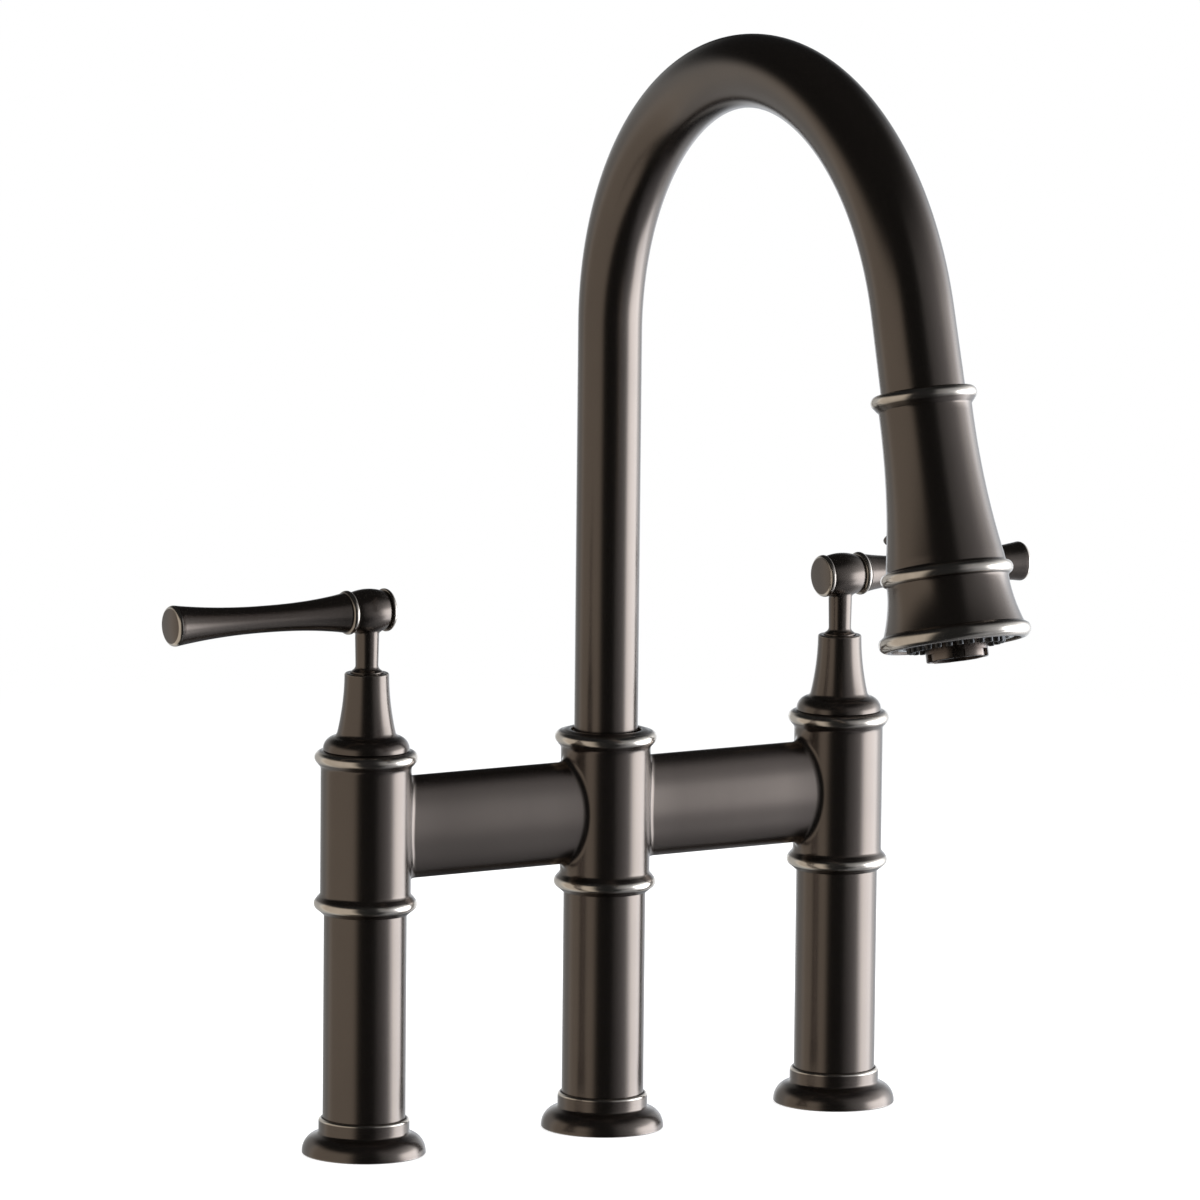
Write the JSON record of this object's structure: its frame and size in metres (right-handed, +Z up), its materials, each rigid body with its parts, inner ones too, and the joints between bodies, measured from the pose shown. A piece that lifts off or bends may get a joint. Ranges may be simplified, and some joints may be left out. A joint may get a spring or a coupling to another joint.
{
  "type": "kitchen bridge faucet",
  "caption": "Bridge kitchen faucet on straight legs with lever valves, a high swivelling gooseneck and a pull-down spray head with a spray rocker.",
  "frame": {"origin": "centre of the middle leg's foot on the worktop plane", "axes": "+Z up, X along the bridge from the left to the right handle, the spout reaches towards -Y"},
  "size_m": [0.3664, 0.2785, 0.4116],
  "materials": {
    "antique_steel": "satin dark antique steel coating on brass",
    "brass": "machined",
    "black_rubber": "moulded",
    "ceramic": "polished ceramic",
    "dark_plastic": "moulded",
    "bright_steel": "satin",
    "braided_hose": "braided nylon over a water hose"
  },
  "bodies": {
    "base": {"bridge_body": "antique_steel", "left_base_flange": "antique_steel", "centre_base_flange": "antique_steel", "right_base_flange": "antique_steel", "left_leg_tube": "antique_steel", "centre_leg_tube": "antique_steel", "right_leg_tube": "antique_steel", "left_inlet_socket": "brass", "centre_shank_socket": "brass", "right_inlet_socket": "brass", "base_seals": "black_rubber", "socket_o_rings": "black_rubber", "left_bonnet": "antique_steel", "right_bonnet": "antique_steel", "left_retaining_nut": "brass", "right_retaining_nut": "brass", "left_cartridge_body": "brass", "right_cartridge_body": "brass", "left_seat_seal": "black_rubber", "right_seat_seal": "black_rubber", "left_fixed_disc": "ceramic", "right_fixed_disc": "ceramic", "hose_guide_tube": "brass", "mixed_water_tube": "brass", "spout_stop_screw": "bright_steel", "thrust_washer": "dark_plastic"},
    "left_handle": {"left_spindle": "brass", "left_moving_disc": "ceramic", "left_handle_hub": "antique_steel", "left_lever": "antique_steel", "left_hub_cap": "antique_steel", "left_set_screw": "bright_steel"},
    "right_handle": {"right_spindle": "brass", "right_moving_disc": "ceramic", "right_handle_hub": "antique_steel", "right_lever": "antique_steel", "right_hub_cap": "antique_steel", "right_set_screw": "bright_steel"},
    "spout": {"spout_bush": "brass", "spout_o_rings": "black_rubber", "gooseneck_tube": "antique_steel", "dock_insert": "dark_plastic", "pull_down_hose": "braided_hose", "hose_tail_fitting": "brass"},
    "spray_head": {"head_shell": "antique_steel", "head_hose": "braided_hose", "hose_coupling": "brass", "check_valve": "dark_plastic", "waterway_core": "dark_plastic", "rocker_pin": "bright_steel", "face_bezel": "bright_steel", "nozzle_plate": "black_rubber", "aerator_housing": "dark_plastic", "aerator_insert": "dark_plastic"},
    "rocker": {"spray_rocker": "antique_steel"},
    "diverter": {"diverter_spool": "brass"}
  },
  "joints": [
    {"name": "spout_swivel", "type": "hinge", "parent": "base", "child": "spout", "pos_m": [0, 0, 0.14], "axis": [0, 0, 1], "range_deg": [-90, 90]},
    {"name": "left_lever_turn", "type": "hinge", "parent": "base", "child": "left_handle", "pos_m": [-0.1016, 0, 0.16], "axis": [0, 0, 1], "range_deg": [0, 90]},
    {"name": "right_lever_turn", "type": "hinge", "parent": "base", "child": "right_handle", "pos_m": [0.1016, 0, 0.16], "axis": [0, 0, 1], "range_deg": [-90, 0]},
    {"name": "head_pull", "type": "slide", "parent": "spout", "child": "spray_head", "axis": [0, -0.2588, -0.9659], "range_m": [0, 0.06]},
    {"name": "spray_toggle", "type": "hinge", "parent": "spray_head", "child": "rocker", "pos_m": [0, -0.20581, 0.25672], "axis": [-1, 0, 0], "range_deg": [0, 16]},
    {"name": "diverter_slide", "type": "slide", "parent": "spray_head", "child": "diverter", "axis": [0, 0.2588, 0.9659], "range_m": [0, 0.00101]}
  ],
  "couplings": [
    {"joint": "spray_toggle", "follows": "diverter_slide", "rad_per_m": 277.78}
  ]
}
